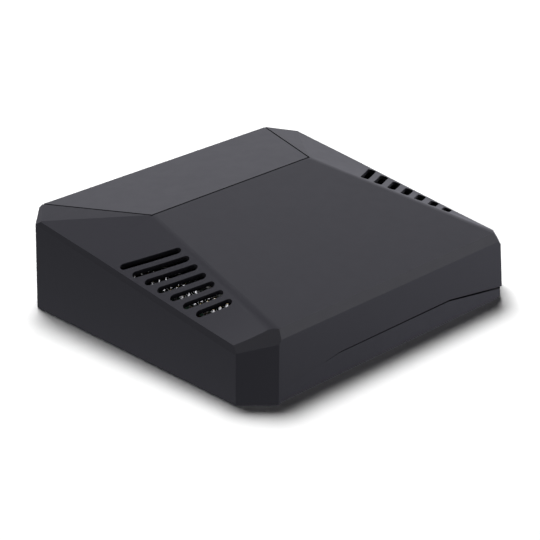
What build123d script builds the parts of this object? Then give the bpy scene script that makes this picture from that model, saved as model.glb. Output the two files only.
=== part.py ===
from build123d import *
import math
import os

# Mesh wifi node: a low wedge-shaped enclosure with its boards, ports, buttons and antennas.
# Frame: millimetres, +Z up, origin on the table under the middle of the footprint.
# The front faces -Y, the rear port panel faces +Y.

os.makedirs("parts", exist_ok=True)

# ---------------------------------------------------------------- enclosure, driving dimensions
WIDTH = 105.0
DEPTH = 98.0
STAND = 0.3  # gap that the feet hold between the table and the walls
FRONT_LEG = 7.8  # leg of the 45 degree front corners
REAR_LEG = 7.4  # leg of the rear corners at the bottom edge
REAR_LEG_FALL = 0.035  # how the rear corners narrow, mm per mm of height
SIDE_DRAFT = 0.0612  # inward lean of the side walls, mm per mm of height
END_DRAFT = 0.03  # inward lean of the front and rear walls
WALL = 2.0
ROOF_SKIN = 1.2  # thin enough to see in through the vents
TALL = 40.0  # higher than any part of the enclosure
BEYOND = 2.0  # how far cutting and rough solids reach past the walls

ROOF_MID = 27.77  # height of the main panel's plane over the origin
ROOF_RISE = 0.156  # rise of the main panel towards the rear
COVER_FRONT_Y = 14.8
COVER_FRONT_X = 30.8  # half length of the cover's front edge
COVER_FLARE = 0.4  # sideways growth of the cover towards the rear
COVER_FALL = 0.0632  # fall of the cover towards the rear
RIDGE_SPREAD = 0.2075  # sideways growth of the ridges towards the front
RIDGE_RADIUS = 6.0
SHOULDER_X = 51.0  # where a side facet's height is set
SHOULDER_MID = 21.67
SHOULDER_RISE = 0.1256
SHOULDER_REAR_Y = 40.6

FRONT_BEVEL = (1.4, 2.4)  # inset and drop of the edge bevels
REAR_BEVEL = (1.0, 1.7)
SIDE_LOW_FRONT = 14.0  # height of the side bevel's low edge at its two ends
SIDE_LOW_REAR = 25.5
SIDE_BEVEL_INSET = 0.55
SIDE_BEVEL_RUN = 1.9
BACK_TOP_LIFT = 0.15
REAR_END_INSET = 0.4
CORNER_LOW = 16.95  # height of the corner bevel's low edge at the front wall

COVER_GAP = 0.5
COVER_SKIN = 2.0
COVER_REST = 0.15  # clearance under the cover
RECESS_SKIN = 1.6

# ---------------------------------------------------------------- vents
VENT_COUNT = 7
VENT_PITCH = 5.05
VENT_WIDTH = 2.4
VENT_ANGLE = 34.2
VENT_OUTER_X = 49.65
VENT_FIRST_Y = 6.5  # outer end of the rearmost slot
VENT_INNER_X = 35.85
VENT_INNER_STEP = 0.99
VENT_FLOOR = 14.5

# ---------------------------------------------------------------- parting line and base
BASE_SKIN = 2.0
LIP_INSET = 0.7
LIP_SKIN = 1.9
EDGE_CUT = 0.6  # how far the lower edge's cut reaches inside the wall
PART_Z = 6.8  # raised middle of the parting line on the front wall
PART_HALF = 21.9
PART_END_X = 44.0
PART_END_Z = 3.4
PART_GAPS = (0.3, 0.6, 0.74, 0.95)  # left end, left corner, right corner, right end
NEST_GAP = 0.3  # base inside the left wall

FLOOR = STAND + BASE_SKIN
BOARD_GAP = 2.2
BOARD_Z = FLOOR + BOARD_GAP
BOARD_SKIN = 1.6
BOARD_CORNER = 2.0
BOARD_TOP = BOARD_Z + BOARD_SKIN

SCREW_SPOTS = [(-45, -34), (45, -34), (-45, 36), (45, 36)]
SCREW_BOSS_R = 3.2
FOOT_SPOTS = [(-38, -40), (38, -40), (-38, 40), (38, 40)]
FOOT_R = 4.5
FOOT_SEAT = 0.8
FOOT_CHAMFER = 0.25
LABEL_SIZE = (50.0, 30.0)
LABEL_SKIN = 0.2
LABEL_CORNER = 2.0

# ---------------------------------------------------------------- rear panel and ports
PANEL_FACE = 47.8
PANEL_SKIN = 1.6
PANEL_HALF = 36.7
PANEL_TOP = 21.2
PANEL_LOW = 3.3
OPENING_CLEAR = 0.3
PORT_PROUD = 0.2
PORT_Z = 11.0  # height of the button centres
JACK_SPOTS = {"wan": -7.5, "lan": 10.5}
JACK_SIZE = (16.0, 21.0, 13.2)
JACK_SKIN = 0.5
POWER_JACK_X = -31.0
POWER_JACK_SIZE = (9.0, 14.0, 11.0)
POWER_BUTTON_X = -20.5
RESET_X = 22.5
LENS_X = 28.5
LENS_Z = 7.7
CUT_CLEAR = 0.25

# ---------------------------------------------------------------- boards
MAIN_X = 39.0
MAIN_FRONT = -37.0
MAIN_REAR = 43.5
BOARD_SCREWS = [(-35.5, -33), (35.5, -33), (-35.5, 23.5), (35.5, 23.5)]
CARD_SKIN = 1.2
CARD_CORNER = 1.2
CARD_TOP = 12.3
CARD_Z = CARD_TOP - CARD_SKIN
CARD_X = (-40.0, -13.0)
CARD_Y = (-19.5, 21.5)
POST_R = 2.4
CARD_POSTS = [(-16.6, -15.7), (-16.6, 18.0)]
PIN_PITCH = 2.54
PIN_ROWS = 14
PIN_COLUMNS = 3
PIN_CENTRE = (-33.3, 1.0)
PIN_R = 0.32
COAX_SPOTS = {"front_left": (-27.5, -16.2), "front_right": (-23.5, -16.2),
              "side_left": (-27.5, 18.2), "side_right": (-23.5, 18.2)}

# ---------------------------------------------------------------- fits, screws and small parts
STAND_UP = (Align.CENTER, Align.CENTER, Align.MIN)
BACK_UP = (Align.CENTER, Align.MAX, Align.MIN)  # placed by the middle of the rear bottom edge
FRONT_UP = (Align.CENTER, Align.MIN, Align.MIN)  # placed by the middle of the front bottom edge
BACK_MID = (Align.CENTER, Align.MAX, Align.CENTER)
PRESS_CLEAR = 0.05
SEAM_GAP = 0.1
LABEL_GAP = 0.6
PILOT_R = 1.25
HEAD_SEAT_R = 2.6
HEAD_SEAT_DEPTH = 1.8
CASE_SCREW_TOP = 11.5
BOSS_SEAT_Z = 3.9
SCREW_PAD_R = 4.0
STANDOFF_R = 3.0
BOARD_SCREW_R = 0.95
BOARD_SCREW_GRIP = 3.4
DISC_R = 3.5
CASE_HEAD = (2.3, 1.3)  # radius and height of the screw heads
BOARD_HEAD = (2.3, 1.5)
CARD_HEAD = (2.1, 1.4)
RECESS_REACH = 1.1  # length and width of a cross recess, over the head's radius
RECESS_SLIT = 0.26
SCREW_END = 0.4  # room under a board screw's point
CARD_SCREW_GRIP = 3.5
PIN_HOLE_R = 0.5
PIN_TIP = 1.0
PIN_TAIL = 0.7
HEADER_RIM = 0.3
SOLDER_R = 0.95
SOLDER_TIP_R = 0.46
SOLDER_RISE = 0.75

CHIP_EDGE = 0.15
CAPACITOR_SPOTS = [(-34.0, 29.3), (-26.5, 29.3)]
CAPACITOR_R = 3.15
CAPACITOR_TALL = 6.0
CAPACITOR_EDGE = 0.5
CHIP_CENTRE = (9.0, -7.0)  # the processor, under the heatsink
PAD_SIDE = 18.0
PAD_SKIN = 1.0
SINK_CENTRE = (10.0, -7.0)
SINK_SIDE = 42.0
SINK_PLATE = 2.6
SINK_TOP = 18.9
FIN_COUNT = 11
FIN_SKIN = 1.2
FIN_PITCH = 4.05
FIN_CLEAR_R = 3.4  # room for a screw's head among the fins
SINK_SCREW_END = 0.6
HEATSINK_SCREWS = [(-7.2, -24.2), (27.2, 10.2)]

CAN_X = -22.0
CAN_SPOTS = {"24": -5.5, "5": 8.5}
CAN_SIZE = (13.0, 12.0, 1.6)
CAN_SKIN = 0.35
LID_OVER = 0.4
LID_CORNER = 0.6
LID_HOLE_R = 0.5
LID_HOLE_PITCH = 2.4
LID_HOLE_COUNT = 4
RADIO_CHIP = (7.0, 7.0, 0.9)

# name: (centre, (length, height), direction of its length)
ANTENNA_SKIN = 0.8
ANTENNA_SLOT = 0.9
ANTENNA_Z = 2.9
ANTENNAS = {
    "front_left": ((-21.0, -43.2), (30.0, 12.0), "x"),
    "front_right": ((21.0, -43.2), (30.0, 12.0), "x"),
    "side_left": ((-47.9, 19.0), (22.0, 12.0), "y"),
    "side_right": ((47.9, 19.0), (22.0, 12.0), "y"),
}
POST_SIZE = (2.0, 3.0, 3.6)
POST_BACK = 2.0
COAX_PAD = (2.4, 2.4, 0.4)
COAX_RING_R = 1.0
COAX_RING_SKIN = 0.3
COAX_RING_TOP = 1.1
LEAD_R = 0.565
BEND_SHARE = 0.45  # of the shorter run beside a bend
BOOT_SKIN = 0.4
BOOT_LOW = 0.5  # height of a plug's lower edge above the card
LEAD_Z = 14.2
LEAD_ROUTES = {
    "front_left": [(-27.6, -27.0, 14.2), (-25.8, -35.0, 12.5), (-25.0, -39.5, 11.0)],
    "front_right": [(-22.8, -23.5, 14.2), (-14.0, -31.0, 13.1), (4.0, -33.6, 11.9), (17.5, -36.0, 11.5),
                    (21.0, -39.5, 11.0)],
    "side_left": [(-32.5, 20.8, 14.2), (-38.5, 23.0, 12.9), (-43.5, 24.0, 11.5)],
    "side_right": [(-18.5, 22.6, 14.5), (0.0, 22.3, 14.9), (20.0, 23.2, 14.7), (38.0, 24.4, 12.7),
                   (43.5, 24.0, 11.5)],
}

SOCKET_LOW = 9.1
SOCKET_SIZE = (11.9, 13.0, 7.0)
LATCH_SIZE = (6.2, 10.0, 1.6)
LAMP_X = 5.4
LAMP_Z = 17.5
LAMP_SIZE = (2.7, 2.8, 1.4)
CONTACT_CENTRE = (41.4, 15.2)
CONTACT_LENGTH = 9.0
CONTACT_TILT = 6.0
CONTACT_PITCH = 1.02
CONTACT_COUNT = 8
CONTACT_SECTION = (0.4, 0.3)
INSERT_SUNK = 0.3
INSERT_SHORT = 1.2  # how much shorter the insert is than its metal shell
SNUG = 0.1
POWER_BORE_R = 3.1
POWER_BORE_DEPTH = 10.0
POWER_PIN_R = 1.0
POWER_PIN_GRIP = 2.0  # length of the pin inside the back of the bore
POWER_PIN_SUNK = 1.2
POWER_BORE_LIFT = 0.4
EDGE_SOFT = 0.3

BUTTON_SIZE = (7.0, 4.4)
BUTTON_CORNER = 1.0
BUTTON_GAP = 0.3
BUTTON_BACK = 44.8
BUTTON_FLANGE = 1.0
BUTTON_PROUD = 1.0
BUTTON_EDGE = 0.4
BUTTON_RIM = 1.0  # how far the button's flange stands out round it
POWER_PLUNGER_R = 1.5
PLUNGER_TIP_Y = 36.3
RESET_R = 0.8
RESET_SUNK = 1.2
SWITCH_FACE_Y = 38.5
SWITCH_DEPTH = 4.0
SWITCH_SKIN = 0.5
LENS_R = 1.2
LENS_BACK_Y = 39.4
LED_SIZE = (1.8, 1.6, 2.4)
LED_GAP = 0.3
FLANGE_SKIN = 1.2
FLANGE_REACH = 2.0
FLANGE_RISE = 1.5

MAGNET_SPOTS = [(-23.5, 21.0), (23.5, 21.0), (-33.0, 41.0), (33.0, 41.0)]
MAGNET_R = 3.0
MAGNET_THICK = 1.8
COVER_BOSS_R = 4.0
WELL_R = 4.4
WELL_WALL = 1.3
WELL_DEPTH = 4.7  # from the cover's top to the floor of a well
WELL_SKIN = 1.0
DISC_THICK = 0.8
BOSS_DEPTH = 3.7  # from the cover's top to the end of a magnet boss


# ---------------------------------------------------------------- geometry helpers
def roof_z(y):
    """Height of the main top panel at depth y."""
    return ROOF_MID + ROOF_RISE * y


def cover_z(y):
    """Height of the cover's top at depth y."""
    return roof_z(COVER_FRONT_Y) - COVER_FALL * (y - COVER_FRONT_Y)


def shoulder_z(y):
    """Height of a side facet at SHOULDER_X."""
    return SHOULDER_MID + SHOULDER_RISE * y


def wall_x(z):
    """Half width between the side walls at height z."""
    return WIDTH / 2 - SIDE_DRAFT * (z - STAND)


def wall_y(z):
    """Half depth between the front and rear walls at height z."""
    return DEPTH / 2 - END_DRAFT * (z - STAND)


def rear_leg(z):
    """Leg of the rear corners at height z."""
    return REAR_LEG - REAR_LEG_FALL * (z - STAND)


def outline(inset, z=STAND):
    """Outline of the walls at height z with its four cut corners, moved in by inset."""
    half_x = wall_x(z) - inset
    half_y = wall_y(z) - inset
    front = FRONT_LEG - inset * (2 - math.sqrt(2))
    rear = rear_leg(z) - inset * (2 - math.sqrt(2))
    right = [(half_x - front, -half_y), (half_x, front - half_y), (half_x, half_y - rear),
             (half_x - rear, half_y)]
    with BuildSketch() as shape:
        with BuildLine():
            Polyline(*right, *[(-x, y) for x, y in reversed(right)], close=True)
        make_face()
    return shape.sketch


def wall_prism(inset, bottom=STAND):
    """Solid inside the leaning walls, moved in by inset."""
    with BuildPart() as prism:
        for height in (bottom, TALL):
            with BuildSketch(Plane.XY.offset(height)):
                add(outline(inset, height))
        loft(ruled=True)
    return prism.part


def plane_through(a, b, c):
    """Plane through three points, facing up."""
    first = Vector(*b) - Vector(*a)
    second = Vector(*c) - Vector(*a)
    normal = first.cross(second)
    if normal.Z < 0:
        normal = normal * -1
    return Plane(origin=a, x_dir=first, z_dir=normal)


def cover_plane(depth):
    """Plane of the cover's top, moved down by depth."""
    return Plane(origin=(0, COVER_FRONT_Y, roof_z(COVER_FRONT_Y) - depth),
                 x_dir=(1, 0, 0), z_dir=(0, COVER_FALL, 1))


def front_roof():
    """Solid under the main panel and the two twisted side facets."""
    edge_x = WIDTH / 2 + BEYOND
    with BuildPart() as roof:
        for y in (-DEPTH / 2 - BEYOND, COVER_FRONT_Y):
            ridge_x = COVER_FRONT_X + RIDGE_SPREAD * (COVER_FRONT_Y - y)
            slope = (shoulder_z(y) - roof_z(y)) / (SHOULDER_X - ridge_x)
            edge_z = roof_z(y) + slope * (edge_x - ridge_x)
            with BuildSketch(Plane.XZ.offset(-y)) as section:
                with BuildLine():
                    Polyline((-edge_x, 0), (-edge_x, edge_z), (-ridge_x, roof_z(y)),
                             (ridge_x, roof_z(y)), (edge_x, edge_z), (edge_x, 0), close=True)
                make_face()
                fillet(section.vertices().sort_by(Axis.Y)[-2:], RIDGE_RADIUS)
        loft(ruled=True)
    return roof.part


def rear_roof():
    """Solid under the cover, the two narrow strips beside it and the rear of the facets."""
    front_corner = (COVER_FRONT_X, COVER_FRONT_Y, roof_z(COVER_FRONT_Y))
    rear_y = DEPTH / 2
    rear_corner = (COVER_FRONT_X + COVER_FLARE * (rear_y - COVER_FRONT_Y), rear_y, cover_z(rear_y))
    shoulder_front = (SHOULDER_X, COVER_FRONT_Y, shoulder_z(COVER_FRONT_Y))
    shoulder_rear = (SHOULDER_X, SHOULDER_REAR_Y, shoulder_z(SHOULDER_REAR_Y))
    with BuildPart() as roof:
        with Locations((0, COVER_FRONT_Y, 0)):
            Box(WIDTH + BEYOND, DEPTH / 2, TALL, align=FRONT_UP)
        split(bisect_by=cover_plane(0), keep=Keep.BOTTOM)
        for side in (-1, 1):
            corners = [(side * x, y, z) for x, y, z in (front_corner, rear_corner,
                                                        shoulder_front, shoulder_rear)]
            strip = plane_through(corners[0], corners[1], corners[3])
            facet = plane_through(corners[0], corners[2], corners[3])
            split(bisect_by=strip, keep=Keep.BOTTOM)
            split(bisect_by=facet, keep=Keep.BOTTOM)
    return roof.part


def outer_form():
    """The whole enclosure as one solid, with the bevels round its top edge."""
    inset, drop = FRONT_BEVEL
    front_top_y = inset - wall_y(roof_z(-DEPTH / 2))
    front_low_z = roof_z(front_top_y) - drop
    rear_inset, rear_drop = REAR_BEVEL
    rear_top_y = wall_y(cover_z(DEPTH / 2)) - rear_inset
    rear_top_z = cover_z(rear_top_y)
    rear_low_z = rear_top_z - rear_drop
    front_turn = FRONT_LEG - DEPTH / 2
    side_low = (wall_x(SIDE_LOW_FRONT), front_turn, SIDE_LOW_FRONT)
    side_top_y = front_turn + SIDE_BEVEL_RUN
    side_top = (side_low[0] - SIDE_BEVEL_INSET, side_top_y, shoulder_z(side_top_y))
    corner_low = (wall_x(CORNER_LOW) - FRONT_LEG, -wall_y(CORNER_LOW), CORNER_LOW)
    back = (wall_x(SIDE_LOW_REAR), wall_y(SIDE_LOW_REAR) - rear_leg(SIDE_LOW_REAR), SIDE_LOW_REAR)
    back_top_y = back[1] - SIDE_BEVEL_RUN
    back_top = (back[0] - SIDE_BEVEL_INSET, back_top_y, shoulder_z(back_top_y) + BACK_TOP_LIFT)
    rear_end = (wall_x(rear_top_z) - rear_leg(rear_top_z) - REAR_END_INSET, rear_top_y, rear_top_z)
    with BuildPart() as form:
        add(wall_prism(0))
        add(roof_solid, mode=Mode.INTERSECT)
        front = plane_through((0, front_top_y, roof_z(front_top_y)), (1, front_top_y, roof_z(front_top_y)),
                              (0, -wall_y(front_low_z), front_low_z))
        rear = plane_through((0, rear_top_y, rear_top_z), (1, rear_top_y, rear_top_z),
                             (0, wall_y(rear_low_z), rear_low_z))
        split(bisect_by=front, keep=Keep.BOTTOM)
        split(bisect_by=rear, keep=Keep.BOTTOM)
        for side in (-1, 1):
            for corners in ((side_low, back, side_top), (side_low, corner_low, side_top),
                            (back, back_top, rear_end)):
                bevel = plane_through(*[(side * x, y, z) for x, y, z in corners])
                split(bisect_by=bevel, keep=Keep.BOTTOM)
    return form.part


def cover_footprint(shrink):
    """Plan of the cover, moved in by shrink on its front and its two flared sides."""
    side_shift = shrink * math.hypot(1, COVER_FLARE)
    front_y = COVER_FRONT_Y + shrink
    front_x = COVER_FRONT_X - side_shift + COVER_FLARE * shrink
    rear_y = DEPTH / 2 + BEYOND
    rear_x = front_x + COVER_FLARE * (rear_y - front_y)
    with BuildSketch() as shape:
        with BuildLine():
            Polyline((-front_x, front_y), (front_x, front_y), (rear_x, rear_y), (-rear_x, rear_y), close=True)
        make_face()
    return shape.sketch


def wall_ring(inner, outer, bottom, top, left_end):
    """Upright band along the walls from left_end round the right side."""
    with BuildPart() as ring:
        with BuildSketch(Plane.XY.offset(bottom)):
            add(outline(outer))
            add(outline(inner), mode=Mode.SUBTRACT)
            with Locations((left_end, 0)):
                Rectangle(WIDTH, 2 * DEPTH, align=(Align.MAX, Align.CENTER), mode=Mode.SUBTRACT)
        extrude(amount=top - bottom)
    return ring.part


def parting_block(side):
    """Solid below the parting line; side is +1 for the shell's edge and -1 for the base's."""
    gaps = [side * gap / 2 for gap in PART_GAPS]
    far = WIDTH
    with BuildPart() as block:
        with BuildSketch(Plane.XZ.offset(DEPTH / 2 - FRONT_LEG)):
            with BuildLine():
                Polyline((-far, -BEYOND), (-far, PART_END_Z + gaps[0]), (-PART_END_X, PART_END_Z + gaps[0]),
                         (-PART_HALF, PART_Z + gaps[1]), (PART_HALF, PART_Z + gaps[2]),
                         (PART_END_X, PART_END_Z + gaps[3]), (far, PART_END_Z + gaps[3]), (far, -BEYOND),
                         close=True)
            make_face()
        extrude(amount=FRONT_LEG * 2)
        with Locations((0, FRONT_LEG - DEPTH / 2, -BEYOND)):
            Box(2 * far, 2 * DEPTH, PART_END_Z + gaps[3] + BEYOND, align=FRONT_UP)
    return block.part


# ---------------------------------------------------------------- shared forms
with BuildPart() as roof_build:
    add(front_roof())
    add(rear_roof())
roof_solid = roof_build.part
enclosure = outer_form()

with BuildPart() as cavity_build:
    add(wall_prism(WALL, bottom=-BEYOND))
    add(roof_solid.moved(Location((0, 0, -ROOF_SKIN))), mode=Mode.INTERSECT)
    split(bisect_by=cover_plane(COVER_SKIN + COVER_REST + RECESS_SKIN), keep=Keep.BOTTOM)
cavity = cavity_build.part


# ---------------------------------------------------------------- upper shell
with BuildPart() as screw_bosses:
    with Locations(*[(x, y, BOSS_SEAT_Z) for x, y in SCREW_SPOTS]):
        Cylinder(SCREW_BOSS_R, TALL, align=STAND_UP)
    add(enclosure, mode=Mode.INTERSECT)
    add(wall_prism(WALL / 2), mode=Mode.INTERSECT)

with BuildPart() as cover_seat:
    with BuildSketch():
        add(cover_footprint(-COVER_GAP / 2))
    extrude(amount=TALL)
    split(bisect_by=cover_plane(COVER_SKIN + COVER_REST), keep=Keep.TOP)

with BuildPart() as shell_edge_cut:
    add(wall_ring(WALL + EDGE_CUT, -WALL, 0, TALL / 4, -PART_END_X))
    add(parting_block(1), mode=Mode.INTERSECT)

with BuildPart() as upper_shell:
    add(enclosure)
    add(cavity, mode=Mode.SUBTRACT)
    add(screw_bosses.part)
    for spot_x, spot_y in MAGNET_SPOTS:
        with Locations((spot_x, spot_y, cover_z(spot_y) - WELL_DEPTH - WELL_SKIN)):
            Cylinder(WELL_R + WELL_WALL, WELL_DEPTH - COVER_SKIN, align=STAND_UP)
    add(cover_seat.part, mode=Mode.SUBTRACT)
    for spot_x, spot_y in MAGNET_SPOTS:
        with Locations((spot_x, spot_y, cover_z(spot_y) - WELL_DEPTH)):
            Cylinder(WELL_R, WELL_DEPTH, align=STAND_UP, mode=Mode.SUBTRACT)
    # slanted vent slots, seven on each side facet
    with BuildSketch(Plane.XY.offset(VENT_FLOOR)):
        for index in range(VENT_COUNT):
            inner_x = VENT_INNER_X + VENT_INNER_STEP * index
            outer_y = VENT_FIRST_Y - VENT_PITCH * index
            length = (VENT_OUTER_X - inner_x) / math.cos(math.radians(VENT_ANGLE))
            middle_x = (VENT_OUTER_X + inner_x) / 2
            middle_y = outer_y - length / 2 * math.sin(math.radians(VENT_ANGLE))
            for side in (-1, 1):
                with Locations(Location((side * middle_x, middle_y, 0), (0, 0, side * VENT_ANGLE))):
                    SlotOverall(length, VENT_WIDTH)
    extrude(amount=TALL - VENT_FLOOR, mode=Mode.SUBTRACT)
    # lower edge along the parting line, and the opening for the port panel
    add(shell_edge_cut.part, mode=Mode.SUBTRACT)
    with Locations((0, DEPTH / 2, STAND)):
        Box(2 * (PANEL_HALF + OPENING_CLEAR), 4 * WALL, PANEL_TOP + OPENING_CLEAR - STAND,
            align=STAND_UP, mode=Mode.SUBTRACT)
    with Locations(*[(x, y, 0) for x, y in SCREW_SPOTS]):
        Cylinder(PILOT_R, CASE_SCREW_TOP + BEYOND / 2, align=STAND_UP, mode=Mode.SUBTRACT)
upper_shell.part.label = "upper_shell"
export_step(upper_shell.part, "parts/upper_shell.step")

# ---------------------------------------------------------------- lift-off rear cover
with BuildPart() as rear_cover:
    with BuildSketch():
        add(cover_footprint(COVER_GAP / 2))
    extrude(amount=TALL)
    split(bisect_by=cover_plane(COVER_SKIN), keep=Keep.TOP)
    add(enclosure, mode=Mode.INTERSECT)
    for spot_x, spot_y in MAGNET_SPOTS:
        with Locations((spot_x, spot_y, cover_z(spot_y) - BOSS_DEPTH)):
            Cylinder(COVER_BOSS_R, BOSS_DEPTH - COVER_SKIN / 2, align=STAND_UP)
            Cylinder(MAGNET_R + PRESS_CLEAR, MAGNET_THICK + PRESS_CLEAR, align=STAND_UP, mode=Mode.SUBTRACT)
rear_cover.part.label = "rear_cover"
export_step(rear_cover.part, "parts/rear_cover.step")

with BuildPart() as cover_magnets:
    for spot_x, spot_y in MAGNET_SPOTS:
        with Locations((spot_x, spot_y, cover_z(spot_y) - BOSS_DEPTH)):
            Cylinder(MAGNET_R, MAGNET_THICK, align=STAND_UP)
cover_magnets.part.label = "cover_magnets"
export_step(cover_magnets.part, "parts/cover_magnets.step")

with BuildPart() as catch_discs:
    for spot_x, spot_y in MAGNET_SPOTS:
        with Locations((spot_x, spot_y, cover_z(spot_y) - WELL_DEPTH)):
            Cylinder(DISC_R, DISC_THICK, align=STAND_UP)
catch_discs.part.label = "catch_discs"
export_step(catch_discs.part, "parts/catch_discs.step")

# ---------------------------------------------------------------- base shell
with BuildPart() as base_lip:
    add(wall_ring(LIP_INSET + LIP_SKIN, LIP_INSET, STAND, TALL / 4, -PART_END_X + SEAM_GAP))
    add(parting_block(-1), mode=Mode.INTERSECT)

with BuildPart() as base_shell:
    with BuildSketch(Plane.XY.offset(STAND)):
        add(outline(LIP_INSET))
        with Locations((-PART_END_X + SEAM_GAP, 0)):
            Rectangle(WIDTH, 2 * DEPTH, align=(Align.MAX, Align.CENTER), mode=Mode.SUBTRACT)
        add(outline(WALL + NEST_GAP))
    extrude(amount=BASE_SKIN)
    add(base_lip.part)
    with Locations(*[(x, y, STAND) for x, y in SCREW_SPOTS]):
        Cylinder(SCREW_PAD_R, BOSS_SEAT_Z - STAND, align=STAND_UP)
    with Locations(*[(x, y, STAND) for x, y in BOARD_SCREWS]):
        Cylinder(STANDOFF_R, BOARD_Z - STAND, align=STAND_UP)
    # slotted posts that hold the four antenna boards
    for centre, size, along in ANTENNAS.values():
        reach = size[0] / 2 - POST_BACK
        for end in (-reach, reach):
            offset = (end, 0) if along == "x" else (0, end)
            post = (POST_SIZE[0], POST_SIZE[1]) if along == "x" else (POST_SIZE[1], POST_SIZE[0])
            slot = (2 * POST_SIZE[1], ANTENNA_SLOT) if along == "x" else (ANTENNA_SLOT, 2 * POST_SIZE[1])
            with Locations((centre[0] + offset[0], centre[1] + offset[1], FLOOR)):
                Box(post[0], post[1], POST_SIZE[2], align=STAND_UP)
            with Locations((centre[0] + offset[0], centre[1] + offset[1], ANTENNA_Z)):
                Box(slot[0], slot[1], POST_SIZE[2], align=STAND_UP, mode=Mode.SUBTRACT)
    with Locations(*[(x, y, STAND) for x, y in FOOT_SPOTS]):
        Cylinder(FOOT_R + PRESS_CLEAR, FOOT_SEAT, align=STAND_UP, mode=Mode.SUBTRACT)
    with Locations((0, 0, STAND)):
        Box(LABEL_SIZE[0] + LABEL_GAP, LABEL_SIZE[1] + LABEL_GAP, LABEL_SKIN + PRESS_CLEAR,
            align=STAND_UP, mode=Mode.SUBTRACT)
    with Locations(*[(x, y, STAND) for x, y in SCREW_SPOTS]):
        Cylinder(HEAD_SEAT_R, HEAD_SEAT_DEPTH, align=STAND_UP, mode=Mode.SUBTRACT)
        Cylinder(PILOT_R + PRESS_CLEAR, TALL, align=STAND_UP, mode=Mode.SUBTRACT)
    with Locations(*[(x, y, BOARD_Z - BOARD_SCREW_GRIP) for x, y in BOARD_SCREWS]):
        Cylinder(BOARD_SCREW_R + PRESS_CLEAR, TALL, align=STAND_UP, mode=Mode.SUBTRACT)
base_shell.part.label = "base_shell"
export_step(base_shell.part, "parts/base_shell.step")

with BuildPart() as rubber_feet:
    with Locations(*[(x, y, 0) for x, y in FOOT_SPOTS]):
        Cylinder(FOOT_R, STAND + FOOT_SEAT, align=STAND_UP)
    chamfer(rubber_feet.faces().group_by(Axis.Z)[0].edges(), FOOT_CHAMFER)
rubber_feet.part.label = "rubber_feet"
export_step(rubber_feet.part, "parts/rubber_feet.step")

with BuildPart() as rating_label:
    with BuildSketch(Plane.XY.offset(STAND + PRESS_CLEAR)):
        RectangleRounded(*LABEL_SIZE, LABEL_CORNER)
    extrude(amount=LABEL_SKIN)
rating_label.part.label = "rating_label"
export_step(rating_label.part, "parts/rating_label.step")


def screws(spots, seat_z, length, shank_r, head, up):
    """Pan-head screws with a cross recess; up is +1 when the heads face up, -1 when they face down."""
    head_r, head_height = head
    with BuildPart() as group:
        with Locations(*[Location((x, y, seat_z), (0 if up > 0 else 180, 0, 0)) for x, y in spots]):
            Cylinder(head_r, head_height, align=STAND_UP)
            Cylinder(shank_r, length, align=(Align.CENTER, Align.CENTER, Align.MAX))
        with Locations(*[Location((x, y, seat_z + up * head_height), (0, 0, 45)) for x, y in spots]):
            Box(head_r * RECESS_REACH, head_r * RECESS_SLIT, head_height, mode=Mode.SUBTRACT)
            Box(head_r * RECESS_SLIT, head_r * RECESS_REACH, head_height, mode=Mode.SUBTRACT)
    return group.part


with BuildPart() as case_screws:
    add(screws(SCREW_SPOTS, STAND + HEAD_SEAT_DEPTH, CASE_SCREW_TOP - STAND - HEAD_SEAT_DEPTH,
               PILOT_R - PRESS_CLEAR, CASE_HEAD, -1))
case_screws.part.label = "case_screws"
export_step(case_screws.part, "parts/case_screws.step")

# ---------------------------------------------------------------- rear port panel
with BuildPart() as port_panel:
    with Locations((0, PANEL_FACE, PANEL_LOW)):
        Box(2 * PANEL_HALF, PANEL_SKIN, PANEL_TOP - PANEL_LOW, align=BACK_UP)
    with Locations((0, PANEL_FACE - PANEL_SKIN, PANEL_LOW)):
        Box(2 * (PANEL_HALF + FLANGE_REACH), FLANGE_SKIN, PANEL_TOP + FLANGE_RISE - PANEL_LOW, align=BACK_UP)
    for jack_x in JACK_SPOTS.values():
        with Locations((jack_x, PANEL_FACE, BOARD_TOP - CUT_CLEAR)):
            Box(JACK_SIZE[0] + 2 * CUT_CLEAR, TALL, JACK_SIZE[2] + 2 * CUT_CLEAR, align=STAND_UP,
                mode=Mode.SUBTRACT)
    with Locations((POWER_JACK_X, PANEL_FACE, BOARD_TOP - CUT_CLEAR)):
        Box(POWER_JACK_SIZE[0] + 2 * CUT_CLEAR, TALL, POWER_JACK_SIZE[2] + 2 * CUT_CLEAR,
            align=STAND_UP, mode=Mode.SUBTRACT)
    with BuildSketch(Plane.XZ.offset(-PANEL_FACE - BEYOND)):
        with Locations((POWER_BUTTON_X, PORT_Z)):
            RectangleRounded(BUTTON_SIZE[0] + 2 * BUTTON_GAP, BUTTON_SIZE[1] + 2 * BUTTON_GAP,
                             BUTTON_CORNER + BUTTON_GAP)
        with Locations((RESET_X, PORT_Z)):
            Circle(RESET_R + BUTTON_GAP)
        with Locations((LENS_X, LENS_Z)):
            Circle(LENS_R + PRESS_CLEAR)
    extrude(amount=TALL / 4, mode=Mode.SUBTRACT)
port_panel.part.label = "port_panel"
export_step(port_panel.part, "parts/port_panel.step")

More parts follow.
